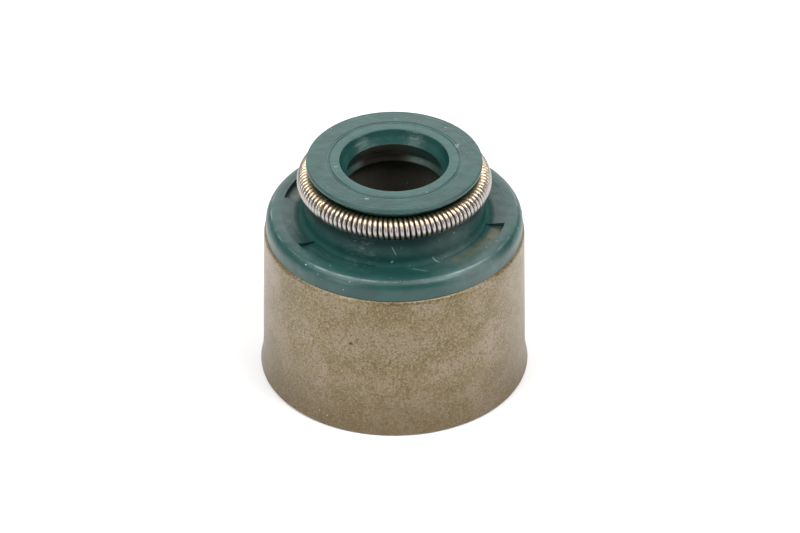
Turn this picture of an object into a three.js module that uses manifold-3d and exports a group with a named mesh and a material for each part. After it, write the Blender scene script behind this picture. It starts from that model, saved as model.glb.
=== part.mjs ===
// Valve stem seal: a rubber moulding bonded to a drawn steel case, with a garter spring around its head.
// Millimetres, +Z up. The origin is the centre of the case's open edge, on which the seal stands.
import * as THREE from "three";
import { ParametricGeometry } from "three/addons/geometries/ParametricGeometry.js";
import { mergeVertices } from "three/addons/utils/BufferGeometryUtils.js";
import Module from "manifold-3d";

// What the seal fits: the valve stem that runs through it and the guide that it is pushed onto
const STEM_RADIUS = 3.0;
const GUIDE_RADIUS = 6.0;

// Rubber head, from the lip outwards
const LIP_INTERFERENCE = 0.13;
const LIP_DEPTH = 0.82;
const MOUTH_FLARE = 0.44;
const MOUTH_ROUND = 0.06;
const FUNNEL_BOW = 0.11;
const HEAD_WALL = 1.2;
const DISC_OVERHANG = 0.115;
const DISC_THICKNESS = 0.725;
const DISC_EDGE_HEIGHT = 0.35;
const DISC_EDGE_ROUND = 0.1;
const DISC_UNDERCUT = 0.05;
const FACE_DROOP = 0.05;
const FACE_GROOVE_OFFSET = 0.66;
const FACE_GROOVE_WIDTH = 0.34;
const FACE_GROOVE_DEPTH = 0.05;

// Rubber neck and the passage through it
const NECK_HEIGHT = 1.855;
const NECK_LIP_REACH = 0.16;
const NECK_TAPER = 0.12;
const NECK_FILLET = 0.32;
const LIP_BACK_RELIEF = 0.46;
const LIP_BACK_HEIGHT = 1.0;
const SECOND_LIP_REACH = 0.3;
const SECOND_LIP_HEIGHT = 0.7;
const PASSAGE_RELIEF = 0.75;

// Rubber rim and band over the case's shoulder, and the lands and pockets between rim and neck
const BAND_INSET = 0.12;
const RIM_RISE = 0.34;
const RIM_ROUND = 0.7;
const RIM_FALL = 0.02;
const POCKET_FILM = 0.36;
const POCKET_COUNT = 4;
const POCKET_SPAN_DEG = 47;
const FIRST_POCKET_DEG = 55;
const POCKET_WIDTH_SHARE = 0.81;

// Rubber lining that grips the guide
const BEAD_GRIP = 0.05;
const BEAD_HEIGHT = 0.2;
const BEAD_COUNT = 3;
const FIRST_BEAD_DEPTH = 2.3;
const LINING_THICKNESS = 1.05;
const LINING_SETBACK = 0.7;
const LINING_CHAMFER = 0.4;
const SEAT_FILM = 0.45;

// Drawn steel case
const CASE_WALL = 0.8;
const CASE_HEIGHT = 9.71;
const CASE_DRAFT = 0.1;
const FLARE = 0.195;
const FLARE_HEIGHT = 1.8;
const CASE_EDGE_ROUND = 0.2;
const CASE_TOP_ROUND = 0.3;
const LEDGE_SHARE = 0.75;
const FLANGE_RISE = 0.59;
const FLANGE_OVERLAP = 0.75;
const SHOULDER_ROUND = 0.35;

// Garter spring
const WIRE_DIAMETER = 0.25;
const COIL_DIAMETER = 1.35;
const TURN_GAP = 0.016;

// Clearances between the pieces
const BOND_GAP = 0.02;
const SPRING_GAP = 0.03;

// Facets
const RING_SEGMENTS = 48;
const ARC_STEPS = 4;
const GROOVE_STEPS = 8;
const POCKET_STEPS = 8;
const STEPS_PER_TURN = 8;
const WIRE_SIDES = 4;

// Where a round stops short of a wall that leans, so that the two blend
const BLEND_DEG = 15;

// Heights worked out from the base up
const ledgeZ = CASE_HEIGHT;
const flangeTopZ = ledgeZ + FLANGE_RISE;
const flangeBottomZ = flangeTopZ - CASE_WALL;
const seatZ = flangeBottomZ - BOND_GAP - SEAT_FILM;
const pocketZ = flangeTopZ + BOND_GAP + POCKET_FILM;
const crestZ = pocketZ + RIM_RISE;
const coilRadius = COIL_DIAMETER / 2;
const grooveArcRadius = coilRadius + SPRING_GAP;
const springZ = pocketZ + NECK_HEIGHT + grooveArcRadius;
const topZ = springZ + grooveArcRadius + DISC_THICKNESS;
const lipZ = topZ - LIP_DEPTH;

// Radii of the head, worked out from the stem outwards
const lipRadius = STEM_RADIUS - LIP_INTERFERENCE;
const mouthRadius = lipRadius + MOUTH_FLARE;
const passageRadius = lipRadius + PASSAGE_RELIEF;
const ringRadius = mouthRadius + HEAD_WALL + grooveArcRadius;
const discRadius = ringRadius + DISC_OVERHANG;
const neckTopRadius = ringRadius + NECK_LIP_REACH;
const neckFootRadius = neckTopRadius + NECK_TAPER;

// Radii of the case and the lining, worked out from the guide outwards
const liningRadius = GUIDE_RADIUS + BEAD_GRIP;
const beadRadius = GUIDE_RADIUS - BEAD_GRIP;
const caseInnerTop = liningRadius + LINING_THICKNESS;
const caseTopRadius = caseInnerTop + CASE_WALL;
const bandRadius = caseTopRadius - BAND_INSET;
const shoulderRadius = caseTopRadius - CASE_WALL * LEDGE_SHARE;
const ledgeRadius = caseTopRadius - CASE_TOP_ROUND;
const topRoundZ = ledgeZ - CASE_TOP_ROUND;
const shoulderRound = Math.min(SHOULDER_ROUND, FLANGE_RISE);
const innerShoulderZ = flangeBottomZ - shoulderRound;
const flangeInnerRadius = GUIDE_RADIUS - FLANGE_OVERLAP;

// The pockets run from the neck's foot over most of the way to the rim
const crestRadius = bandRadius - RIM_ROUND;
const pocketInnerRadius = neckFootRadius + NECK_FILLET / 2;
const pocketOuterRadius = pocketInnerRadius + (crestRadius - pocketInnerRadius) * POCKET_WIDTH_SHARE;

const degrees = THREE.MathUtils.degToRad;
const inDegrees = THREE.MathUtils.radToDeg;
const at = (radius, z) => new THREE.Vector2(radius, z);

// Points on a round stretch of an outline, both ends included.
function arc(radius, z, arcRadius, fromDeg, toDeg, steps = ARC_STEPS) {
  const points = [];
  for (let i = 0; i <= steps; i += 1) {
    const angle = degrees(fromDeg + ((toDeg - fromDeg) * i) / steps);
    points.push(at(radius + arcRadius * Math.cos(angle), z + arcRadius * Math.sin(angle)));
  }
  return points;
}

// A closed outline of (radius, z) points turned around +Z.
function turned(outline) {
  const closed = [...outline, outline[0].clone()];
  return new THREE.LatheGeometry(closed, RING_SEGMENTS).rotateX(Math.PI / 2);
}

// Radius of the case's inside wall at a height above the base: a straight draft, and a flared foot.
function caseInnerRadius(z) {
  const drafted = caseInnerTop + CASE_DRAFT * (1 - z / ledgeZ);
  const flared = FLARE * Math.max(0, 1 - z / FLARE_HEIGHT) ** 2;
  return drafted + flared;
}

// Points up the case's wall from one height to another, closer together where it flares.
function wallPoints(fromZ, toZ, offset) {
  const between = [FLARE_HEIGHT / 2, FLARE_HEIGHT].filter((z) => z > fromZ && z < toZ);
  return [fromZ, ...between, toZ].map((z) => at(caseInnerRadius(z) + offset, z));
}

// The drawn cup: outside wall upwards, ledge, shoulder, flange inwards, inside wall downwards.
function caseOutline() {
  const footRadius = caseInnerRadius(0) + CASE_WALL;
  const innerArcRadius = caseInnerRadius(innerShoulderZ) - shoulderRound;
  return [
    ...arc(footRadius - CASE_EDGE_ROUND, CASE_EDGE_ROUND, CASE_EDGE_ROUND, -90, -BLEND_DEG),
    ...wallPoints(CASE_EDGE_ROUND, topRoundZ, CASE_WALL),
    ...arc(ledgeRadius, topRoundZ, CASE_TOP_ROUND, BLEND_DEG, 90),
    at(shoulderRadius, ledgeZ),
    ...arc(shoulderRadius - shoulderRound, flangeTopZ - shoulderRound, shoulderRound, 0, 90),
    at(flangeInnerRadius, flangeTopZ),
    at(flangeInnerRadius, flangeBottomZ),
    ...arc(innerArcRadius, innerShoulderZ, shoulderRound, 90, BLEND_DEG),
    ...wallPoints(0, innerShoulderZ, 0).reverse(),
  ];
}

// The rounded rim above the band, and the land that falls from it to the neck's foot.
function rimOutline() {
  const rimInnerZ = crestZ - RIM_FALL;
  const filletRadius = neckFootRadius + NECK_FILLET;
  const fallDeg = inDegrees(Math.atan2(rimInnerZ - pocketZ, pocketOuterRadius - filletRadius));
  return [
    ...arc(crestRadius, crestZ - RIM_ROUND, RIM_ROUND, 0, 90),
    at(pocketOuterRadius, rimInnerZ),
    ...arc(filletRadius, pocketZ + NECK_FILLET, NECK_FILLET, 270 + fallDeg, 180),
  ];
}

// The neck, the groove that holds the spring, the disc's edge, and its face with a shallow groove.
// The disc's underside leaves the groove's arc as a tangent and runs straight to the disc's lower edge.
function headOutline() {
  const neckLipDeg = -inDegrees(Math.acos(NECK_LIP_REACH / grooveArcRadius));
  const discEdge = at(discRadius - DISC_UNDERCUT, topZ - DISC_EDGE_HEIGHT);
  const toEdge = discEdge.clone().sub(at(ringRadius, springZ));
  const tangentDeg = inDegrees(toEdge.angle() + Math.acos(grooveArcRadius / toEdge.length()));
  const edgeRoundZ = topZ - FACE_DROOP - DISC_EDGE_ROUND;
  const faceGroove = mouthRadius + FACE_GROOVE_OFFSET;
  return [
    ...arc(ringRadius, springZ, grooveArcRadius, neckLipDeg, tangentDeg - 360, GROOVE_STEPS),
    discEdge,
    ...arc(discRadius - DISC_EDGE_ROUND, edgeRoundZ, DISC_EDGE_ROUND, 0, 90),
    at(faceGroove + FACE_GROOVE_WIDTH / 2, topZ),
    at(faceGroove, topZ - FACE_GROOVE_DEPTH),
    at(faceGroove - FACE_GROOVE_WIDTH / 2, topZ),
    ...arc(mouthRadius + MOUTH_ROUND, topZ - MOUTH_ROUND, MOUTH_ROUND, 90, 180, 2),
  ];
}

// The concave funnel down to the lip, the lip's back side, a second smaller lip, and the passage.
function passageOutline() {
  const reliefZ = lipZ - LIP_BACK_HEIGHT;
  const secondLipZ = reliefZ - SECOND_LIP_HEIGHT / 2;
  const reliefRadius = lipRadius + LIP_BACK_RELIEF;
  return [
    at((mouthRadius + lipRadius) / 2 + FUNNEL_BOW, (topZ + lipZ) / 2),
    at(lipRadius, lipZ),
    at(reliefRadius, reliefZ),
    at(reliefRadius - SECOND_LIP_REACH, secondLipZ),
    at(passageRadius, reliefZ - SECOND_LIP_HEIGHT),
    at(passageRadius, seatZ),
  ];
}

// The flat seat for the guide's end, and the lining with its rounded beads and lead-in.
function liningOutline() {
  const firstBeadZ = seatZ - FIRST_BEAD_DEPTH;
  const beadPitch = (firstBeadZ - LINING_SETBACK - LINING_CHAMFER) / BEAD_COUNT;
  const beads = [];
  for (let i = 0; i < BEAD_COUNT; i += 1) {
    const beadZ = firstBeadZ - beadPitch * i;
    beads.push(at(liningRadius, beadZ + BEAD_HEIGHT));
    beads.push(at(beadRadius, beadZ));
    beads.push(at(liningRadius, beadZ - BEAD_HEIGHT));
  }
  return [
    at(liningRadius, seatZ),
    ...beads,
    at(liningRadius, LINING_SETBACK + LINING_CHAMFER),
    at(liningRadius + LINING_CHAMFER, LINING_SETBACK),
  ];
}

// The faces bonded to the steel, a bond gap away from it all along, up to the foot of the band.
function bondOutline() {
  const innerArcRadius = caseInnerRadius(innerShoulderZ) - shoulderRound;
  const outerArcRadius = shoulderRadius - shoulderRound;
  const underBand = CASE_TOP_ROUND + BOND_GAP;
  const bandFootDeg = inDegrees(Math.acos((bandRadius - ledgeRadius) / underBand));
  return [
    ...wallPoints(LINING_SETBACK, innerShoulderZ, -BOND_GAP),
    ...arc(innerArcRadius, innerShoulderZ, shoulderRound - BOND_GAP, BLEND_DEG, 90),
    at(flangeInnerRadius - BOND_GAP, flangeBottomZ - BOND_GAP),
    at(flangeInnerRadius - BOND_GAP, flangeTopZ + BOND_GAP),
    ...arc(outerArcRadius, flangeTopZ - shoulderRound, shoulderRound + BOND_GAP, 90, 0),
    at(shoulderRadius + BOND_GAP, ledgeZ + BOND_GAP),
    ...arc(ledgeRadius, topRoundZ, underBand, 90, bandFootDeg),
  ];
}

// One arc-shaped cutter per pocket, from its flat floor to above the rim.
function pocketCutter(index) {
  const start = degrees(-POCKET_SPAN_DEG / 2);
  const end = degrees(POCKET_SPAN_DEG / 2);
  const sector = new THREE.Shape();
  sector.absarc(0, 0, pocketOuterRadius, start, end, false);
  sector.absarc(0, 0, pocketInnerRadius, end, start, true);
  const depth = RIM_RISE + NECK_FILLET;
  const settings = { depth, bevelEnabled: false, curveSegments: POCKET_STEPS };
  const centreDeg = FIRST_POCKET_DEG + (360 * index) / POCKET_COUNT;
  return new THREE.ExtrudeGeometry(sector, settings)
    .translate(0, 0, pocketZ)
    .rotateZ(degrees(centreDeg));
}

const wasm = await Module();
wasm.setup();

// A geometry as a solid that can be cut, with only its positions left.
function solidOf(geometry) {
  const bare = geometry.clone();
  bare.deleteAttribute("normal");
  bare.deleteAttribute("uv");
  const merged = mergeVertices(bare);
  return new wasm.Manifold(
    new wasm.Mesh({
      numProp: 3,
      vertProperties: merged.attributes.position.array,
      triVerts: new Uint32Array(merged.index.array),
    }),
  );
}

// A solid as a geometry again.
function geometryOf(solid) {
  const mesh = solid.getMesh();
  const geometry = new THREE.BufferGeometry();
  geometry.setAttribute("position", new THREE.BufferAttribute(mesh.vertProperties, 3));
  geometry.setIndex(new THREE.BufferAttribute(mesh.triVerts, 1));
  geometry.computeVertexNormals();
  return geometry;
}

function rubberBody() {
  const outline = [
    ...rimOutline(),
    ...headOutline(),
    ...passageOutline(),
    ...liningOutline(),
    ...bondOutline(),
  ];
  let solid = solidOf(turned(outline));
  for (let i = 0; i < POCKET_COUNT; i += 1) {
    solid = solid.subtract(solidOf(pocketCutter(i)));
  }
  const material = new THREE.MeshStandardMaterial({ color: 0x2c524c, roughness: 0.42, metalness: 0 });
  return new THREE.Mesh(geometryOf(solid), material);
}

function metalCase() {
  const material = new THREE.MeshStandardMaterial({ color: 0x877a62, roughness: 0.5, metalness: 0.6 });
  return new THREE.Mesh(turned(caseOutline()), material);
}

// The wire runs along a helix that is bent round into a ring, so its two ends meet.
function garterSpring() {
  const wireRadius = WIRE_DIAMETER / 2;
  const helixRadius = coilRadius - wireRadius;
  const innermost = 2 * Math.PI * (ringRadius - helixRadius);
  const turns = Math.floor(innermost / (WIRE_DIAMETER + TURN_GAP));
  const lean = -turns * helixRadius;

  const wireSurface = (u, v, point) => {
    const ringAngle = 2 * Math.PI * v;
    const turnAngle = -turns * ringAngle;
    const side = 2 * Math.PI * u;
    const centreRadius = ringRadius + helixRadius * Math.cos(turnAngle);
    const slope = Math.atan2(centreRadius, lean);
    const out = wireRadius * Math.cos(side);
    const along = wireRadius * Math.sin(side) * Math.cos(slope);
    const back = wireRadius * Math.sin(side) * Math.sin(slope);
    const radius = centreRadius + out * Math.cos(turnAngle) + back * Math.sin(turnAngle);
    const height = (helixRadius + out) * Math.sin(turnAngle) - back * Math.cos(turnAngle);
    point.set(
      radius * Math.cos(ringAngle) - along * Math.sin(ringAngle),
      radius * Math.sin(ringAngle) + along * Math.cos(ringAngle),
      springZ + height,
    );
  };
  const geometry = new ParametricGeometry(wireSurface, WIRE_SIDES, turns * STEPS_PER_TURN);
  const material = new THREE.MeshStandardMaterial({ color: 0xb4aca2, roughness: 0.3, metalness: 1 });
  return new THREE.Mesh(geometry, material);
}

const seal = new THREE.Group();
const pieces = { metal_case: metalCase(), rubber_body: rubberBody(), garter_spring: garterSpring() };
for (const [name, mesh] of Object.entries(pieces)) {
  mesh.name = name;
  seal.add(mesh);
}

export default seal;
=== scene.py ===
"""A valve stem seal on a pale studio floor: rubber moulding, drawn steel case and garter spring."""
import math

import bpy
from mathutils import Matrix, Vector


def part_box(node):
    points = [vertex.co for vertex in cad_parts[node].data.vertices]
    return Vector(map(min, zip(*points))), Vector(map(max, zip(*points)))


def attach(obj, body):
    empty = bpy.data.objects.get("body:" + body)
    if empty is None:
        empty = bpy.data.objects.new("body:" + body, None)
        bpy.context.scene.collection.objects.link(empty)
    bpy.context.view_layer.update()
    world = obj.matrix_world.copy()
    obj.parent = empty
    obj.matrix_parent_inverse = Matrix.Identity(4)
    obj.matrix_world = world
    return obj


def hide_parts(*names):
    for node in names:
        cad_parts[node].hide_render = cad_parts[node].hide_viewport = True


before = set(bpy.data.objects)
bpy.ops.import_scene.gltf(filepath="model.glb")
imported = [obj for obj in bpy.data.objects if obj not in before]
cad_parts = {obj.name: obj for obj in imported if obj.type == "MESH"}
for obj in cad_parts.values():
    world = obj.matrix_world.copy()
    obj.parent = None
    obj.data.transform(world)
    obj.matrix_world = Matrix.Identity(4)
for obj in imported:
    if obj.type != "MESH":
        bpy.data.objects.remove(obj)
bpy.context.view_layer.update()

MM = 0.001

# Sizes in millimetres, read from the frame
case_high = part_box("metal_case")[1] / MM
body_low, body_high = (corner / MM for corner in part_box("rubber_body"))
coil_low, coil_high = (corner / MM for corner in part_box("garter_spring"))
FLANGE_TOP = case_high.z
BAND_RADIUS = body_high.x
LINING_FOOT = body_low.z
TOP = body_high.z
COIL_RADIUS = (coil_high.z - coil_low.z) / 2
RING_RADIUS = coil_high.x - COIL_RADIUS
RING_Z = (coil_high.z + coil_low.z) / 2

# Steel case
CASE_WALL = 0.8
CASE_DRAFT = 0.1
FOOT_ROUND_OUTSIDE = 0.16
FOOT_ROUND_INSIDE = 0.08
FLARE = 0.195
FLARE_HEIGHT = 1.8
FLARE_HEIGHTS = [FLARE_HEIGHT * share for share in (0.15, 0.3, 0.45, 0.6, 0.75, 0.9, 1.0)]
LEDGE_Z = FLANGE_TOP - 0.59
CASE_TOP_RADIUS = BAND_RADIUS + 0.12
CASE_TOP_ROUND = 0.3
LEDGE_RADIUS = CASE_TOP_RADIUS - CASE_TOP_ROUND
SHOULDER_RADIUS = CASE_TOP_RADIUS - 0.6
SHOULDER_ROUND = 0.35
FLANGE_INNER = 5.25
FLANGE_ROUND = 0.05
BOND_GAP = 0.02

# Rubber rim, lands and pockets
BAND_UNDERSIDE = 0.1
POCKET_Z = FLANGE_TOP + 0.38
CREST_Z = POCKET_Z + 0.34
RIM_ROUND = 0.7
RIM_FALL = 0.02
CREST_RADIUS = BAND_RADIUS - RIM_ROUND
NECK_TOP_REACH = 0.16
NECK_FOOT_RADIUS = RING_RADIUS + NECK_TOP_REACH + 0.12
NECK_FILLET = 0.32
POCKET_INNER = NECK_FOOT_RADIUS + NECK_FILLET / 2
POCKET_OUTER = POCKET_INNER + (CREST_RADIUS - POCKET_INNER) * 0.81
POCKET_CENTRES_DEG = (55, 145, 235, 325)
POCKET_HALF_SPAN_DEG = 23.5
POCKET_WALL_DEG = 0.12
POCKET_WALL = 0.015

# Rubber head: the groove for the spring, the disc, and two fine rings in its face
GROOVE_ARC = COIL_RADIUS + 0.03
GROOVE_STEPS = 18
DISC_RADIUS = RING_RADIUS + 0.115
DISC_EDGE = Vector((DISC_RADIUS - 0.05, TOP - 0.35))
DISC_EDGE_RISE = 0.1
FACE_DROOP = 0.05
LIP_RADIUS = 2.87
LIP_DEPTH = 0.82
MOUTH_RADIUS = LIP_RADIUS + 0.44
INNER_RING = MOUTH_RADIUS + 0.62
INNER_RING_HALF = 0.05
INNER_RING_DEPTH = 0.05
OUTER_RING = MOUTH_RADIUS + 0.78
OUTER_RING_HALF = 0.06
OUTER_RING_DEPTH = 0.035
FACE_BETWEEN_RINGS = 0.008
FACE_BESIDE_RINGS = 0.012

# Rubber passage: the bowed funnel, the lip's back, a second small lip, the seat and the lining
FUNNEL_BOW = 0.15
FUNNEL_ROUND = 0.4
LIP_BACK_RADIUS = LIP_RADIUS + 0.46
LIP_BACK_DROP = 1.0
SECOND_LIP_RADIUS = LIP_RADIUS + 0.16
SECOND_LIP_DROP = 0.35
PASSAGE_RADIUS = LIP_RADIUS + 0.75
PASSAGE_DROP = 0.7
SEAT_Z = FLANGE_TOP - CASE_WALL - BOND_GAP - 0.45
LINING_RADIUS = 6.05
LEAD_IN = 0.4
BEADS = 3
BEAD_RADIUS = 5.95
BEAD_HALF = 0.2
FIRST_BEAD_Z = SEAT_Z - 2.3

# Garter spring, with one turn that stands up where its ends are joined
TURNS = 110
WIRE_RADIUS = 0.125
HELIX_RADIUS = COIL_RADIUS - WIRE_RADIUS
WIRE_SIDES = 10
STEPS_PER_TURN = 28
JOINT_TURN = 67
JOINT_HALF_TURNS = 0.9
JOINT_RISE = 0.12
JOINT_SLOPE = 3

# Fineness of the turned meshes
TURN_STEPS = 360
LONGEST_EDGE = 0.14
ARC_STEP_DEG = 9
SMALLEST_TURN = 0.01
SMOOTH_BELOW_DEG = 38
WIRE_SMOOTH_BELOW_DEG = 80

# How much of a stretch a fillet may take
HALF_STRETCH = 0.48
NEIGHBOUR_ROOM = 1.1
FILLET_SHARE = 0.98


def fillet_room(stretch, other_fillet):
    """The length that a fillet may take: nearly half, or what the fillet at the other end leaves."""
    return FILLET_SHARE * max(HALF_STRETCH * stretch, stretch - NEIGHBOUR_ROOM * other_fillet)


def rounded(corners):
    """A closed outline through (radius, z, fillet) corners, with an arc where there is a fillet."""
    points = []
    for i, (radius, z, fillet) in enumerate(corners):
        here = Vector((radius, z))
        previous, following = corners[i - 1], corners[(i + 1) % len(corners)]
        before, after = Vector(previous[:2]) - here, Vector(following[:2]) - here
        turn = math.pi - before.angle(after) if fillet else 0
        if turn < SMALLEST_TURN:
            points.append(here)
            continue
        room = min(fillet_room(before.length, previous[2]), fillet_room(after.length, following[2]))
        reach = min(fillet * math.tan(turn / 2), room)
        bisector = (before.normalized() + after.normalized()).normalized()
        centre = here + bisector * math.hypot(reach, reach / math.tan(turn / 2))
        start = here + before.normalized() * reach - centre
        end = here + after.normalized() * reach - centre
        sweep = -start.angle_signed(end)
        steps = max(2, math.ceil(math.degrees(turn) / ARC_STEP_DEG))
        for k in range(steps + 1):
            angle = math.atan2(start.y, start.x) + sweep * k / steps
            points.append(centre + start.length * Vector((math.cos(angle), math.sin(angle))))
    return points


def spread(points, longest):
    """The same closed outline with its long straight stretches divided."""
    finer = []
    for i, point in enumerate(points):
        following = points[(i + 1) % len(points)]
        pieces = max(1, math.ceil((following - point).length / longest))
        finer.extend(point.lerp(following, k / pieces) for k in range(pieces))
    return finer


def mesh_object(name, vertices, faces, smooth_below_deg):
    """A new object from vertices in millimetres, shaded smooth apart from its sharp edges."""
    mesh = bpy.data.meshes.new(name)
    mesh.from_pydata([Vector(v) * MM for v in vertices], [], faces)
    mesh.shade_smooth()
    mesh.set_sharp_from_angle(angle=math.radians(smooth_below_deg))
    mesh.update()
    thing = bpy.data.objects.new(name, mesh)
    bpy.context.scene.collection.objects.link(thing)
    return thing


def turned(name, corners, angles, height_at=None):
    """Corners turned through a full circle; height_at may move a point up or down by its angle."""
    outline = spread(rounded(corners), LONGEST_EDGE)
    vertices = []
    for angle in angles:
        for radius, z in outline:
            height = height_at(radius, z, angle) if height_at else z
            vertices.append((radius * math.cos(angle), radius * math.sin(angle), height))
    rows = len(outline)
    faces = []
    for j in range(len(angles)):
        here, beside = j * rows, (j + 1) % len(angles) * rows
        for i in range(rows):
            above = (i + 1) % rows
            faces.append((here + i, beside + i, beside + above, here + above))
    return mesh_object(name, vertices, faces, SMOOTH_BELOW_DEG)


def case_inner_radius(z):
    """The inside of the case's drafted and flared wall at a height."""
    straight = CASE_TOP_RADIUS - CASE_WALL + CASE_DRAFT * (1 - z / LEDGE_Z)
    return straight + FLARE * max(0, 1 - z / FLARE_HEIGHT) ** 2


def wall(heights, offset):
    """Corners along the case's inner wall, moved outwards by the offset."""
    return [(case_inner_radius(z) + offset, z, 0) for z in heights]


def build_case():
    """The drawn cup: flared foot, straight wall, ledge and shoulder for the rubber, and the flange."""
    foot = case_inner_radius(0)
    under = FLANGE_TOP - CASE_WALL
    corners = [
        (foot + CASE_WALL, 0, FOOT_ROUND_OUTSIDE),
        *wall(FLARE_HEIGHTS, CASE_WALL),
        (CASE_TOP_RADIUS, LEDGE_Z, CASE_TOP_ROUND),
        (SHOULDER_RADIUS, LEDGE_Z, 0),
        (SHOULDER_RADIUS, FLANGE_TOP, SHOULDER_ROUND),
        (FLANGE_INNER, FLANGE_TOP, FLANGE_ROUND),
        (FLANGE_INNER, under, FLANGE_ROUND),
        (CASE_TOP_RADIUS - CASE_WALL, under, SHOULDER_ROUND),
        *reversed(wall(FLARE_HEIGHTS, 0)),
        (foot, 0, FOOT_ROUND_INSIDE),
    ]
    return turned("case_shell", corners, [2 * math.pi * k / TURN_STEPS for k in range(TURN_STEPS)])


def rim_corners():
    """The band over the case's shoulder, the rounded rim, and the land that falls to the neck."""
    under = CASE_TOP_ROUND + BOND_GAP
    foot_z = LEDGE_Z - CASE_TOP_ROUND + math.sqrt(under**2 - (BAND_RADIUS - LEDGE_RADIUS) ** 2)
    land_z = CREST_Z - RIM_FALL
    return [
        (LEDGE_RADIUS + BAND_UNDERSIDE, LEDGE_Z + BOND_GAP, 0),
        (BAND_RADIUS, foot_z, 0.03),
        (BAND_RADIUS, CREST_Z, RIM_ROUND),
        (POCKET_OUTER, land_z, 0),
        (POCKET_OUTER - POCKET_WALL, land_z - POCKET_WALL / 3, 0),
        (NECK_FOOT_RADIUS, POCKET_Z, NECK_FILLET),
    ]


def groove_corners():
    """The round groove for the spring, from the neck up to where the disc's underside leaves it."""
    to_edge = DISC_EDGE - Vector((RING_RADIUS, RING_Z))
    start = -math.acos(NECK_TOP_REACH / GROOVE_ARC)
    leaves = math.acos(GROOVE_ARC / to_edge.length)
    end = math.atan2(to_edge.y, to_edge.x) + leaves - 2 * math.pi
    corners = []
    for k in range(GROOVE_STEPS + 1):
        angle = start + (end - start) * k / GROOVE_STEPS
        radius = RING_RADIUS + GROOVE_ARC * math.cos(angle)
        corners.append((radius, RING_Z + GROOVE_ARC * math.sin(angle), 0))
    return corners


def head_corners():
    """The disc's thin edge, its face with the two fine rings in it, and the edge of the mouth."""
    between = TOP - FACE_BETWEEN_RINGS
    return [
        (DISC_EDGE.x, DISC_EDGE.y, 0.03),
        (DISC_RADIUS, DISC_EDGE.y + DISC_EDGE_RISE, 0.06),
        (DISC_RADIUS, TOP - FACE_DROOP, 0.1),
        (OUTER_RING + OUTER_RING_HALF, TOP - FACE_BESIDE_RINGS, 0.05),
        (OUTER_RING, TOP - OUTER_RING_DEPTH, 0.03),
        (OUTER_RING - OUTER_RING_HALF, between, 0.04),
        (INNER_RING + INNER_RING_HALF, between, 0.03),
        (INNER_RING, TOP - INNER_RING_DEPTH, 0.02),
        (INNER_RING - INNER_RING_HALF, TOP, 0.04),
        (MOUTH_RADIUS, TOP, 0.07),
    ]


def passage_corners():
    """The funnel down to the sealing lip, the hollow behind it, the second lip and the passage."""
    lip = TOP - LIP_DEPTH
    back = lip - LIP_BACK_DROP
    return [
        (MOUTH_RADIUS - FUNNEL_BOW, TOP - LIP_DEPTH / 2, FUNNEL_ROUND),
        (LIP_RADIUS, lip, 0.02),
        (LIP_BACK_RADIUS, back, 0.15),
        (SECOND_LIP_RADIUS, back - SECOND_LIP_DROP, 0.06),
        (PASSAGE_RADIUS, back - PASSAGE_DROP, 0.15),
        (PASSAGE_RADIUS, SEAT_Z, 0.04),
    ]


def lining_corners():
    """The seat for the guide, the lining with its rounded beads, and its lead-in."""
    pitch = (FIRST_BEAD_Z - LINING_FOOT - LEAD_IN) / BEADS
    corners = [(LINING_RADIUS, SEAT_Z, 0.06)]
    for bead in range(BEADS):
        z = FIRST_BEAD_Z - pitch * bead
        corners += [
            (LINING_RADIUS, z + BEAD_HALF, 0.1),
            (BEAD_RADIUS, z, 0.15),
            (LINING_RADIUS, z - BEAD_HALF, 0.1),
        ]
    return corners + [
        (LINING_RADIUS, LINING_FOOT + LEAD_IN, 0.1),
        (LINING_RADIUS + LEAD_IN, LINING_FOOT, 0.05),
    ]


def bond_corners():
    """The faces against the steel, which nobody sees."""
    under, over = FLANGE_TOP - CASE_WALL - BOND_GAP, FLANGE_TOP + BOND_GAP
    heights = [LINING_FOOT] + [z for z in FLARE_HEIGHTS if z > LINING_FOOT]
    return [
        *wall(heights, -BOND_GAP),
        (CASE_TOP_RADIUS - CASE_WALL - BOND_GAP, under, SHOULDER_ROUND),
        (FLANGE_INNER - BOND_GAP, under, 0),
        (FLANGE_INNER - BOND_GAP, over, 0),
        (SHOULDER_RADIUS + BOND_GAP, over, SHOULDER_ROUND),
        (SHOULDER_RADIUS + BOND_GAP, LEDGE_Z + BOND_GAP, 0),
    ]


def pocket_height(radius, z, angle):
    """A point of the land goes down to the flat floor where it lies inside a pocket."""
    on_land = POCKET_Z < z < CREST_Z and POCKET_INNER < radius < POCKET_OUTER - POCKET_WALL / 2
    if not on_land:
        return z
    degrees = math.degrees(angle)
    away = min(abs((degrees - centre + 180) % 360 - 180) for centre in POCKET_CENTRES_DEG)
    return POCKET_Z if away < POCKET_HALF_SPAN_DEG else z


def pocket_angles():
    """Even steps around, with a close pair of angles at each pocket's end wall."""
    ends = []
    for centre in POCKET_CENTRES_DEG:
        for side in (-1, 1):
            end = centre + side * POCKET_HALF_SPAN_DEG
            ends += [end - side * POCKET_WALL_DEG, end + side * POCKET_WALL_DEG / 10]
    steps = [360 * k / TURN_STEPS for k in range(TURN_STEPS)]
    clear = [a for a in steps if min(abs(a - end) for end in ends) > 2 * POCKET_WALL_DEG]
    return [math.radians(a) for a in sorted(clear + ends)]


def build_rubber():
    corners = rim_corners() + groove_corners() + head_corners() + passage_corners()
    corners += lining_corners() + bond_corners()
    return turned("seal_rubber", corners, pocket_angles(), pocket_height)


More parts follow.
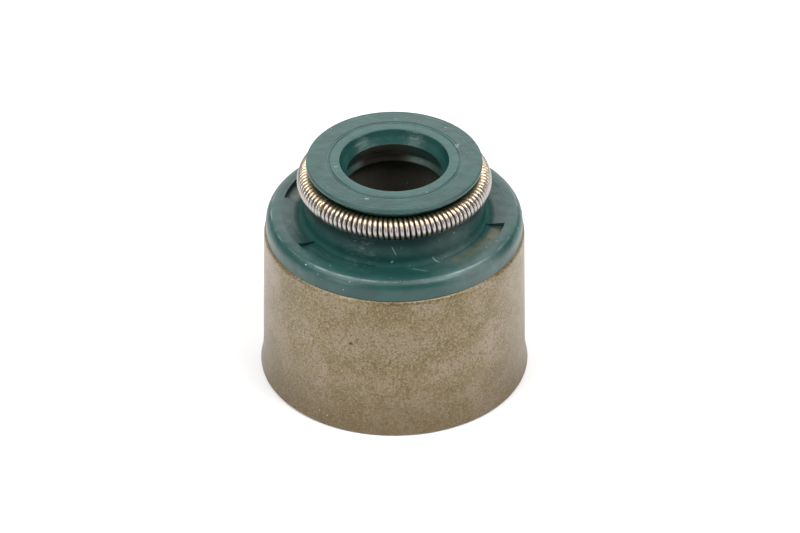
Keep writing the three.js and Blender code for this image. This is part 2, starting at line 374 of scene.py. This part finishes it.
def wire_frame(ring_angle):
    """Centre of the wire and the two directions across it, where the helix passes a ring angle."""
    turn_angle = -TURNS * ring_angle
    out = Vector((math.cos(ring_angle), math.sin(ring_angle), 0))
    along = Vector((-math.sin(ring_angle), math.cos(ring_angle), 0))
    up = Vector((0, 0, 1))
    radial = out * math.cos(turn_angle) + up * math.sin(turn_angle)
    turns_away = abs(TURNS * ring_angle / (2 * math.pi) - JOINT_TURN)
    rise = JOINT_RISE * max(0, 1 - turns_away / JOINT_HALF_TURNS)
    centre = out * (RING_RADIUS + rise / JOINT_SLOPE) + up * (RING_Z + rise) + radial * HELIX_RADIUS
    around = -out * math.sin(turn_angle) + up * math.cos(turn_angle)
    heading = along * centre.xy.length - around * TURNS * HELIX_RADIUS
    across = radial.cross(heading).normalized()
    return centre, radial, across


def build_spring():
    """A round wire along a helix that closes on itself around the neck."""
    rings = TURNS * STEPS_PER_TURN
    vertices = []
    for k in range(rings):
        centre, radial, across = wire_frame(2 * math.pi * k / rings)
        for side in range(WIRE_SIDES):
            angle = 2 * math.pi * side / WIRE_SIDES
            offset = radial * math.cos(angle) + across * math.sin(angle)
            vertices.append(centre + WIRE_RADIUS * offset)
    faces = []
    for k in range(rings):
        here, ahead = k * WIRE_SIDES, (k + 1) % rings * WIRE_SIDES
        for side in range(WIRE_SIDES):
            beside = (side + 1) % WIRE_SIDES
            faces.append((here + side, ahead + side, ahead + beside, here + beside))
    return mesh_object("spring_wire", vertices, faces, WIRE_SMOOTH_BELOW_DEG)


# Shares of a mark's and a speck's reach over which it has its full strength
MARK_CORE = 0.3
SPECK_CORE = 0.5


class Shader:
    """A material's nodes, with short calls for those that the materials here share."""

    def __init__(self, name):
        self.material = bpy.data.materials.new(name)
        self.material.use_nodes = True
        self.nodes = self.material.node_tree.nodes
        self.links = self.material.node_tree.links
        self.surface = self.nodes["Principled BSDF"]
        place = self.nodes.new("ShaderNodeTexCoord")
        self.mm = self.vector("SCALE", place.outputs["Object"], scale=1 / MM)
        parts = self.nodes.new("ShaderNodeSeparateXYZ")
        self.give(parts.inputs[0], self.mm)
        self.x = parts.outputs["X"]
        self.z = parts.outputs["Z"]
        flat = self.vector("MULTIPLY", self.mm, (1, 1, 0))
        self.radius = self.vector("LENGTH", flat, output="Value")

    def give(self, socket, value):
        """Link a socket, or set it to a constant."""
        if isinstance(value, bpy.types.NodeSocket):
            self.links.new(value, socket)
        else:
            socket.default_value = value

    def vector(self, operation, a, b=None, scale=None, output="Vector"):
        node = self.nodes.new("ShaderNodeVectorMath")
        node.operation = operation
        self.give(node.inputs[0], a)
        if b is not None:
            self.give(node.inputs[1], b)
        if scale is not None:
            self.give(node.inputs["Scale"], scale)
        return node.outputs[output]

    def math(self, operation, a, b=0.0, clamp=False):
        node = self.nodes.new("ShaderNodeMath")
        node.operation = operation
        node.use_clamp = clamp
        self.give(node.inputs[0], a)
        self.give(node.inputs[1], b)
        return node.outputs[0]

    def times(self, first, *others):
        """The product of masks and strengths."""
        product = first
        for value in others:
            product = self.math("MULTIPLY", product, value)
        return product

    def most(self, values):
        """The highest of some masks."""
        highest = values[0]
        for value in values[1:]:
            highest = self.math("MAXIMUM", highest, value)
        return highest

    def between(self, value, low, high):
        """0 below low, 1 above high, smooth between them; falls instead where low is over high."""
        node = self.nodes.new("ShaderNodeMapRange")
        node.interpolation_type = "SMOOTHSTEP"
        self.give(node.inputs["Value"], value)
        rising = low < high
        node.inputs["From Min"].default_value = low if rising else high
        node.inputs["From Max"].default_value = high if rising else low
        node.inputs["To Min"].default_value = 0 if rising else 1
        node.inputs["To Max"].default_value = 1 if rising else 0
        return node.outputs["Result"]

    def noise(self, scale, detail=2.0, stretch=(1, 1, 1), distortion=0.0, offset=(0, 0, 0)):
        node = self.nodes.new("ShaderNodeTexNoise")
        moved = self.vector("ADD", self.mm, offset)
        self.give(node.inputs["Vector"], self.vector("MULTIPLY", moved, stretch))
        node.inputs["Scale"].default_value = scale
        node.inputs["Detail"].default_value = detail
        node.inputs["Distortion"].default_value = distortion
        return node.outputs["Fac"]

    def rings(self, scale, detail=2.0):
        """Noise that changes only with the distance from the axis."""
        node = self.nodes.new("ShaderNodeTexNoise")
        node.noise_dimensions = "1D"
        node.inputs["Scale"].default_value = scale
        node.inputs["Detail"].default_value = detail
        self.give(node.inputs["W"], self.radius)
        return node.outputs["Fac"]

    def cells(self, scale, stretch):
        """Distance to the nearest of scattered points, and a random number for each of them."""
        node = self.nodes.new("ShaderNodeTexVoronoi")
        self.give(node.inputs["Vector"], self.vector("MULTIPLY", self.mm, stretch))
        node.inputs["Scale"].default_value = scale
        parts = self.nodes.new("ShaderNodeSeparateColor")
        self.give(parts.inputs[0], node.outputs["Color"])
        return node.outputs["Distance"], parts.outputs[0]

    def specks(self, scale, size, share, stretch=(1, 1, 1)):
        """1 on small spots, on the given share of the cells."""
        distance, chance = self.cells(scale, stretch)
        spot = self.between(distance, size, size * SPECK_CORE)
        return self.times(spot, self.math("LESS_THAN", chance, share))

    def near(self, place, reach):
        """1 at a place in millimetres, 0 beyond its reach."""
        away = self.vector("DISTANCE", self.mm, place, output="Value")
        return self.between(away, reach, reach * MARK_CORE)

    def line(self, start, end, width, weights):
        """1 along a thin mark between two places; a weight below 1 forgives distance along that axis."""
        start, end = Vector(start) * Vector(weights), Vector(end) * Vector(weights)
        offset = self.vector("SUBTRACT", self.vector("MULTIPLY", self.mm, weights), start)
        run = end - start
        share = self.vector("DOT_PRODUCT", offset, run / run.length_squared, output="Value")
        nearest = self.vector("SCALE", run, scale=self.math("ADD", share, 0.0, clamp=True))
        away = self.vector("DISTANCE", offset, nearest, output="Value")
        return self.between(away, width, width * MARK_CORE)

    def mix(self, factor, a, b):
        """Colour a where the factor is 0, colour b where it is 1."""
        node = self.nodes.new("ShaderNodeMix")
        node.data_type = "RGBA"
        self.give(node.inputs[0], factor)
        self.give(node.inputs[6], a)
        self.give(node.inputs[7], b)
        return node.outputs[2]

    def layered(self, base, layers):
        """A base colour with (mask, colour) layers over it, the last one on top."""
        for mask, tint in layers:
            base = self.mix(mask, base, tint)
        return base

    def ramp(self, value, stops):
        """A colour for each value, between (position, colour) stops."""
        node = self.nodes.new("ShaderNodeValToRGB")
        self.give(node.inputs[0], value)
        elements = node.color_ramp.elements
        while len(elements) < len(stops):
            elements.new(0.5)
        for element, (position, tint) in zip(elements, stops):
            element.position = position
            element.color = tint
        return node.outputs["Color"]

    def bump(self, height, depth, onto=None):
        """Relief of a depth in millimetres, on top of another relief if one is given."""
        node = self.nodes.new("ShaderNodeBump")
        node.inputs["Distance"].default_value = depth * MM
        self.give(node.inputs["Height"], height)
        if onto is not None:
            self.give(node.inputs["Normal"], onto)
        return node.outputs["Normal"]


def colour(red, green, blue):
    return (red, green, blue, 1.0)


# Colours of the rubber, of what lies on it, and of the painted shade, reflection, light and highlight on it
RUBBER_DARK = colour(0.009, 0.050, 0.044)
RUBBER_LIGHT = colour(0.014, 0.066, 0.057)
RUBBER_BROWN = colour(0.085, 0.080, 0.062)
RUBBER_LIP_BACK_SHADE = colour(0.016, 0.014, 0.010)
RUBBER_SHADE = colour(0.004, 0.014, 0.013)
RUBBER_COLLAR = colour(0.020, 0.090, 0.078)
POCKET_TINT = colour(0.095, 0.088, 0.030)
DUST = colour(0.42, 0.50, 0.47)
PAINTED_LIGHT_TINT = colour(0.17, 0.21, 0.20)
RIM_HIGHLIGHT_TINT = colour(0.22, 0.33, 0.33)

# Where the looks of the rubber change, in millimetres: each pair runs from none to full
DEPOSIT_BELOW = (TOP - 0.70, TOP - 1.0)
DEPOSIT_WITHIN = (4.4, 4.1)
BARE_ON_RIGHT = (0.2, 1.4)
BARE_ON_LEFT = (-1.7, -2.4)
BARE_ABOVE = (TOP - 2.6, TOP - 2.2)
LIP_BACK_BELOW = (TOP - 1.75, TOP - 1.85)
LIP_BACK_ABOVE = (TOP - 2.30, TOP - 2.15)
COLLAR_WITHIN = (MOUTH_RADIUS + 0.62, MOUTH_RADIUS + 0.55)
COLLAR_ABOVE = (TOP - 0.05, TOP - 0.02)
FLOOR_BELOW = (POCKET_Z + 0.05, POCKET_Z + 0.01)
FLOOR_WITHIN = (POCKET_OUTER + 0.03, POCKET_OUTER)
# Painted shade on the neck under the spring
NECK_SHADE_BEYOND = (4.4, 4.6)
NECK_SHADE_WITHIN = (NECK_FOOT_RADIUS + 0.3, NECK_FOOT_RADIUS + 0.1)
NECK_SHADE_ABOVE = (POCKET_Z + 0.7, POCKET_Z + 1.7)
NECK_SHADE_BELOW = (RING_Z + 0.6, RING_Z + 0.3)
# Painted highlight on the rim's round
RIM_HIGHLIGHT_BEYOND = (CREST_RADIUS + 0.28, CREST_RADIUS + 0.36)
RIM_HIGHLIGHT_WITHIN = (CREST_RADIUS + 0.44, CREST_RADIUS + 0.36)
RIM_HIGHLIGHT_ABOVE = (POCKET_Z, POCKET_Z + 0.1)
DUST_BEYOND = (3.4, 3.6)
VALLEY_WITHIN = (NECK_FOOT_RADIUS + 0.7, NECK_FOOT_RADIUS + 0.3)
VALLEY_BELOW = (POCKET_Z + 0.9, POCKET_Z + 0.5)
VALLEY_BEYOND = (4.6, 4.8)
POLISH_WITHIN = (MOUTH_RADIUS + 0.02, MOUTH_RADIUS - 0.04)
POLISH_ABOVE = (TOP - 0.9, TOP - 0.8)
# Places and reaches of the painted reflection on the front of the neck and of the painted light on the land
# at the front right
SHEEN_PLACE = (-2.0, -5.2, 11.5)
SHEEN_REACH = 1.5
LIT_PATCH_PLACE = (4.3, -4.9, 10.9)
LIT_PATCH_REACH = 3.2

# Olive patches on the pocket floors, lint and scratches: from where to where, half the width, and the axis
# that may be off
LAND_Z = 10.85
ON_LAND = (1, 1, 0.15)
ON_NECK = (1, 0.15, 1)
POCKET_PATCHES = [
    ((6.60, -1.20, POCKET_Z), (5.45, -2.95, POCKET_Z), 0.62, ON_LAND),
    ((5.45, -2.95, POCKET_Z), (3.80, -4.75, POCKET_Z), 0.50, ON_LAND),
    ((-5.90, 2.00, POCKET_Z), (-5.60, 2.80, POCKET_Z), 0.60, ON_LAND),
]
MARKS = [
    ((1.13, -5.89, LAND_Z), (2.02, -6.41, LAND_Z), 0.04, ON_LAND),
    ((2.27, -4.95, LAND_Z), (2.75, -5.16, LAND_Z), 0.04, ON_LAND),
    ((5.52, -3.49, LAND_Z), (5.75, -3.40, LAND_Z), 0.07, ON_LAND),
    ((6.10, -3.30, LAND_Z), (6.22, -3.24, LAND_Z), 0.05, ON_LAND),
    ((-1.72, -6.40, LAND_Z), (-1.55, -6.42, LAND_Z), 0.05, ON_LAND),
    ((-0.13, -5.46, 12.01), (0.11, -5.46, 11.50), 0.035, ON_NECK),
    ((-0.16, -5.52, 10.98), (-0.10, -5.50, 11.04), 0.06, ON_NECK),
]


def bore_brown(shade):
    """Brown inside the bore, taken off towards the left and right sides."""
    deep = shade.times(shade.between(shade.z, *DEPOSIT_BELOW), shade.between(shade.radius, *DEPOSIT_WITHIN))
    right, left = shade.between(shade.x, *BARE_ON_RIGHT), shade.between(shade.x, *BARE_ON_LEFT)
    sides = shade.math("ADD", right, left, clamp=True)
    bare = shade.times(sides, shade.between(shade.z, *BARE_ABOVE), 0.85)
    return shade.times(deep, shade.math("SUBTRACT", 1.0, bare))


def lip_back_shade(shade):
    """Painted shade in the hollow between the two lips."""
    return shade.times(shade.between(shade.z, *LIP_BACK_BELOW), shade.between(shade.z, *LIP_BACK_ABOVE))


def collar(shade):
    """The face of the disc between the mouth and the fine rings."""
    return shade.times(shade.between(shade.radius, *COLLAR_WITHIN), shade.between(shade.z, *COLLAR_ABOVE))


def pocket_patches(shade):
    """Olive-brown patches on the floors of the pockets, along the listed lines."""
    on_floor = shade.times(shade.between(shade.z, *FLOOR_BELOW), shade.between(shade.radius, *FLOOR_WITHIN))
    patch_lines = shade.most([shade.line(*place) for place in POCKET_PATCHES])
    patchy = shade.between(shade.noise(1.6, detail=4), 0.25, 0.75)
    return shade.times(on_floor, patch_lines, patchy)


def neck_shade(shade):
    """Painted shade on the neck under the spring, where the spring and the disc keep the light off."""
    return shade.times(
        shade.between(shade.radius, *NECK_SHADE_BEYOND),
        shade.between(shade.radius, *NECK_SHADE_WITHIN),
        shade.between(shade.z, *NECK_SHADE_ABOVE),
        shade.between(shade.z, *NECK_SHADE_BELOW),
    )


def valley(shade):
    """The foot of the neck and the land beside it, which stay dull."""
    return shade.times(
        shade.between(shade.radius, *VALLEY_WITHIN),
        shade.between(shade.z, *VALLEY_BELOW),
        shade.between(shade.radius, *VALLEY_BEYOND),
    )


def neck_sheen(shade):
    """Painted reflection: a streaky pale patch on the front of the neck, where the lamps are mirrored in
    the rubber.
    """
    streaky = shade.between(shade.noise(2.2, detail=5, stretch=(1, 1, 4)), 0.5, 0.68)
    return shade.times(shade.near(SHEEN_PLACE, SHEEN_REACH), streaky)


def rim_highlight(shade):
    """Painted highlight: a thin pale line on the rim's round, broken up by noise."""
    return shade.times(
        shade.between(shade.radius, *RIM_HIGHLIGHT_BEYOND),
        shade.between(shade.radius, *RIM_HIGHLIGHT_WITHIN),
        shade.between(shade.z, *RIM_HIGHLIGHT_ABOVE),
        shade.between(shade.noise(0.9, detail=4), 0.35, 0.75),
    )


def dust(shade):
    """Specks and short lint on the outside, and the larger marks at their places."""
    specks = shade.math("ADD", shade.specks(2.6, 0.11, 0.12), shade.specks(5.5, 0.13, 0.07), clamp=True)
    lint = shade.times(shade.specks(1.6, 0.12, 0.12, stretch=(0.35, 1.6, 1.6)), 0.8)
    scattered = shade.times(shade.most([specks, lint]), shade.between(shade.radius, *DUST_BEYOND))
    marks = shade.most([shade.line(*mark) for mark in MARKS])
    return shade.most([scattered, shade.times(marks, 0.5)])


def rubber_roughness(shade, grain, dull):
    """Satin with a fine grain, polished in the funnel, and rougher where it is dull."""
    in_mouth = shade.between(shade.radius, *POLISH_WITHIN)
    polished = shade.times(in_mouth, shade.between(shade.z, *POLISH_ABOVE))
    rough = shade.math("ADD", shade.times(grain, 0.14), 0.27)
    rough = shade.math("SUBTRACT", rough, shade.times(polished, 0.13))
    return shade.math("ADD", rough, shade.times(dull, 0.35))


def rubber_relief(shade, grain, dusty):
    """Faint turned rings, a slow unevenness, the grain, and the dust on top."""
    normal = shade.bump(shade.rings(7.0), 0.012)
    normal = shade.bump(shade.noise(1.3), 0.05, onto=normal)
    normal = shade.bump(grain, 0.014, onto=normal)
    return shade.bump(dusty, 0.02, onto=normal)


def rubber_material():
    shade = Shader("green_rubber")
    inside, shaded_neck, sheen_patch, dusty = bore_brown(shade), neck_shade(shade), neck_sheen(shade), dust(shade)
    # Painted light: a pale cloud on the land at the front right, where more light falls
    lit_patch = shade.times(shade.near(LIT_PATCH_PLACE, LIT_PATCH_REACH), shade.noise(1.1, detail=4))
    cloudy = shade.between(shade.noise(0.7, detail=4), 0.35, 0.65)
    # Besides the rubber's own tints and dust, these layers paint shade in the lip's hollow and on the neck
    # under the spring, a reflection on the neck, light on the land at the front right and a highlight on
    # the rim
    base = shade.layered(shade.mix(cloudy, RUBBER_DARK, RUBBER_LIGHT), [
        (inside, RUBBER_BROWN),
        (shade.times(inside, lip_back_shade(shade)), RUBBER_LIP_BACK_SHADE),
        (shade.times(collar(shade), 0.5), RUBBER_COLLAR),
        (pocket_patches(shade), POCKET_TINT),
        (shade.times(shaded_neck, 0.75), RUBBER_SHADE),
        (shade.times(sheen_patch, 0.45), PAINTED_LIGHT_TINT),
        (shade.times(lit_patch, 0.45), PAINTED_LIGHT_TINT),
        (shade.times(rim_highlight(shade), 0.6), RIM_HIGHLIGHT_TINT),
        (dusty, DUST),
    ])
    shade.give(shade.surface.inputs["Base Color"], base)

    grain = shade.noise(16, detail=3)
    low = valley(shade)
    dull = shade.most([dusty, inside, shaded_neck, shade.times(low, 0.9), sheen_patch])
    shade.give(shade.surface.inputs["Roughness"], rubber_roughness(shade, grain, dull))
    matt = shade.times(shade.most([inside, shaded_neck, low]), 0.38)
    shade.give(shade.surface.inputs["Specular IOR Level"], shade.math("SUBTRACT", 0.5, matt))
    shade.give(shade.surface.inputs["Normal"], rubber_relief(shade, grain, dusty))
    return shade.material


# Colours of the phosphated steel, and heights between which it is darker towards the foot and has a painted
# warm reflection along its bottom edge
STEEL_OLIVE = colour(0.145, 0.108, 0.036)
STEEL_KHAKI = colour(0.190, 0.146, 0.060)
STEEL_GREY = colour(0.225, 0.180, 0.110)
STEEL_PINK = colour(0.290, 0.222, 0.155)
STEEL_RUST_AND_REFLECTION = colour(0.150, 0.082, 0.028)
STEEL_DARK = colour(0.070, 0.048, 0.018)
STEEL_FOOT = colour(0.085, 0.050, 0.016)
STEEL_FLECK = colour(0.55, 0.50, 0.40)
STEEL_PIT = colour(0.025, 0.015, 0.005)
FOOT_BELOW = (4.6, 0.2)
BOTTOM_REFLECTION_BELOW = (0.22, 0.05)
PIT_PLACE = (-2.63, -7.55, 6.44)
PIT_REACH = 0.20


def case_material():
    shade = Shader("phosphated_steel")
    patches = shade.noise(0.5, detail=4, distortion=0.5)
    blushes = shade.between(shade.noise(0.42, detail=3, offset=(3, 7, 2)), 0.5, 0.68)
    rusty = shade.between(shade.noise(1.7, detail=5, offset=(9, 2, 5)), 0.52, 0.72)
    coarse = shade.noise(4.5, detail=3, offset=(1, 4, 8))
    fine = shade.noise(9, detail=3)
    base = shade.ramp(patches, [(0.32, STEEL_OLIVE), (0.5, STEEL_KHAKI), (0.66, STEEL_GREY)])
    base = shade.layered(base, [
        (shade.times(blushes, 0.6), STEEL_PINK),
        (shade.times(rusty, 0.55), STEEL_RUST_AND_REFLECTION),
        (shade.times(shade.between(coarse, 0.52, 0.30), 0.45), STEEL_DARK),
        (shade.times(shade.between(fine, 0.50, 0.68), 0.9), STEEL_PINK),
        (shade.times(shade.between(fine, 0.48, 0.30), 0.8), STEEL_DARK),
        (shade.times(shade.between(shade.z, *FOOT_BELOW), 0.42), STEEL_FOOT),
        # Painted reflection: a warm band along the bottom edge, where the case stands on the floor
        (shade.times(shade.between(shade.z, *BOTTOM_REFLECTION_BELOW), 0.6), STEEL_RUST_AND_REFLECTION),
        (shade.specks(2.2, 0.10, 0.12), STEEL_FLECK),
        (shade.specks(3.1, 0.11, 0.10), STEEL_DARK),
        (shade.near(PIT_PLACE, PIT_REACH), STEEL_PIT),
    ])
    shade.give(shade.surface.inputs["Base Color"], base)
    shade.surface.inputs["Metallic"].default_value = 0.5
    shade.surface.inputs["Coat Weight"].default_value = 0.35
    shade.surface.inputs["Coat Roughness"].default_value = 0.32
    rough = shade.math("ADD", shade.times(fine, 0.2), 0.36)
    shade.give(shade.surface.inputs["Roughness"], rough)
    normal = shade.bump(fine, 0.02)
    normal = shade.bump(shade.noise(1.2, stretch=(1, 1, 0.2)), 0.03, onto=normal)
    shade.give(shade.surface.inputs["Normal"], normal)
    return shade.material


# Colours of the bright wire, and heights between which its upper side is tinted warm: some oil, and painted
# bounce light from the rubber
WIRE_BRIGHT = colour(0.44, 0.405, 0.38)
WIRE_WARM = colour(0.74, 0.58, 0.38)
OIL_AND_BOUNCE_ABOVE = (RING_Z + COIL_RADIUS * 0.45, RING_Z + COIL_RADIUS * 0.95)


def wire_material():
    shade = Shader("spring_steel_wire")
    # The warm upper side of the wire is painted bounce light from the rubber, with some oil
    uneven = shade.math("ADD", shade.times(shade.noise(1.2), 0.4), 0.6)
    oil_and_bounce = shade.times(shade.between(shade.z, *OIL_AND_BOUNCE_ABOVE), uneven)
    shade.give(shade.surface.inputs["Base Color"], shade.mix(oil_and_bounce, WIRE_BRIGHT, WIRE_WARM))
    shade.surface.inputs["Metallic"].default_value = 1.0
    streaks = shade.noise(9, detail=3)
    rough = shade.math("ADD", shade.times(streaks, 0.16), 0.24)
    shade.give(shade.surface.inputs["Roughness"], rough)
    shade.give(shade.surface.inputs["Normal"], shade.bump(streaks, 0.01))
    return shade.material


def dress(piece, material, node):
    piece.data.materials.append(material)
    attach(piece, "root")
    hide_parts(node)


# Photograph geometry: the point of the axis at the aim height lies at this pixel of 800 by 533
PHOTO_WIDTH, PHOTO_HEIGHT = 800, 533
AIM_PIXEL = (394.3, 260)
AIM_HEIGHT = 7.29
ELEVATION_DEG = 35.2
DISTANCE = 486.0
MM_PER_PIXEL = 0.06076
SENSOR_MM = 36.0
CLIP_START_M = 0.01

# Soft boxes that face the seal: place and size in millimetres, and watts
SOFT_BOXES = {
    "left_box": ((-115, -50, 230), (140, 140), 0.42),
    "right_box": ((115, -50, 230), (140, 140), 0.48),
    "low_left_box": ((-167, -170, 95), (80, 60), 0.15),
    "low_right_box": ((230, -80, 75), (80, 60), 0.13),
    "back_panel": ((0, 330, 190), (560, 300), 0.95),
}
STUDIO_TONE = colour(0.96, 0.97, 1.0)
STUDIO_STRENGTH = 0.21

# The floor lies a hair under the seal, so that the two faces don't show through each other
FLOOR_HALF = 600
FLOOR_Z = -0.01
FLOOR_TONE = colour(0.96, 0.96, 0.96)


def set_camera():
    tilt = math.radians(ELEVATION_DEG)
    forward = Vector((0, math.cos(tilt), -math.sin(tilt)))
    right = Vector((1, 0, 0))
    up = right.cross(forward)
    aim = Vector((0, 0, AIM_HEIGHT))
    aim += right * (PHOTO_WIDTH / 2 - AIM_PIXEL[0]) * MM_PER_PIXEL
    aim -= up * (PHOTO_HEIGHT / 2 - AIM_PIXEL[1]) * MM_PER_PIXEL
    data = bpy.data.cameras.new("camera")
    data.sensor_width = SENSOR_MM
    data.lens = SENSOR_MM * DISTANCE / (PHOTO_WIDTH * MM_PER_PIXEL)
    data.clip_start = CLIP_START_M
    camera = bpy.data.objects.new("camera", data)
    camera.location = (aim - forward * DISTANCE) * MM
    camera.rotation_euler = forward.to_track_quat("-Z", "Y").to_euler()
    bpy.context.scene.collection.objects.link(camera)
    bpy.context.scene.camera = camera


def set_lights():
    for name, (place, (width, height), watts) in SOFT_BOXES.items():
        data = bpy.data.lights.new(name, "AREA")
        data.shape = "RECTANGLE"
        data.size = width * MM
        data.size_y = height * MM
        data.energy = watts
        lamp = bpy.data.objects.new(name, data)
        lamp.location = Vector(place) * MM
        towards = Vector((0, 0, TOP / 2)) - Vector(place)
        lamp.rotation_euler = towards.to_track_quat("-Z", "Y").to_euler()
        bpy.context.scene.collection.objects.link(lamp)


def set_world():
    world = bpy.data.worlds.new("studio")
    world.use_nodes = True
    world.node_tree.nodes["Background"].inputs["Color"].default_value = STUDIO_TONE
    world.node_tree.nodes["Background"].inputs["Strength"].default_value = STUDIO_STRENGTH
    bpy.context.scene.world = world


def set_floor():
    corners = [(x * FLOOR_HALF, y * FLOOR_HALF, FLOOR_Z) for x, y in ((-1, -1), (1, -1), (1, 1), (-1, 1))]
    floor = mesh_object("studio_floor", corners, [(0, 1, 2, 3)], SMOOTH_BELOW_DEG)
    paper = Shader("pale_paper")
    paper.surface.inputs["Base Color"].default_value = FLOOR_TONE
    paper.surface.inputs["Roughness"].default_value = 0.9
    floor.data.materials.append(paper.material)


bpy.context.scene.view_settings.view_transform = "Standard"
set_camera()
set_lights()
set_world()
set_floor()
dress(build_case(), case_material(), "metal_case")
dress(build_rubber(), rubber_material(), "rubber_body")
dress(build_spring(), wire_material(), "garter_spring")
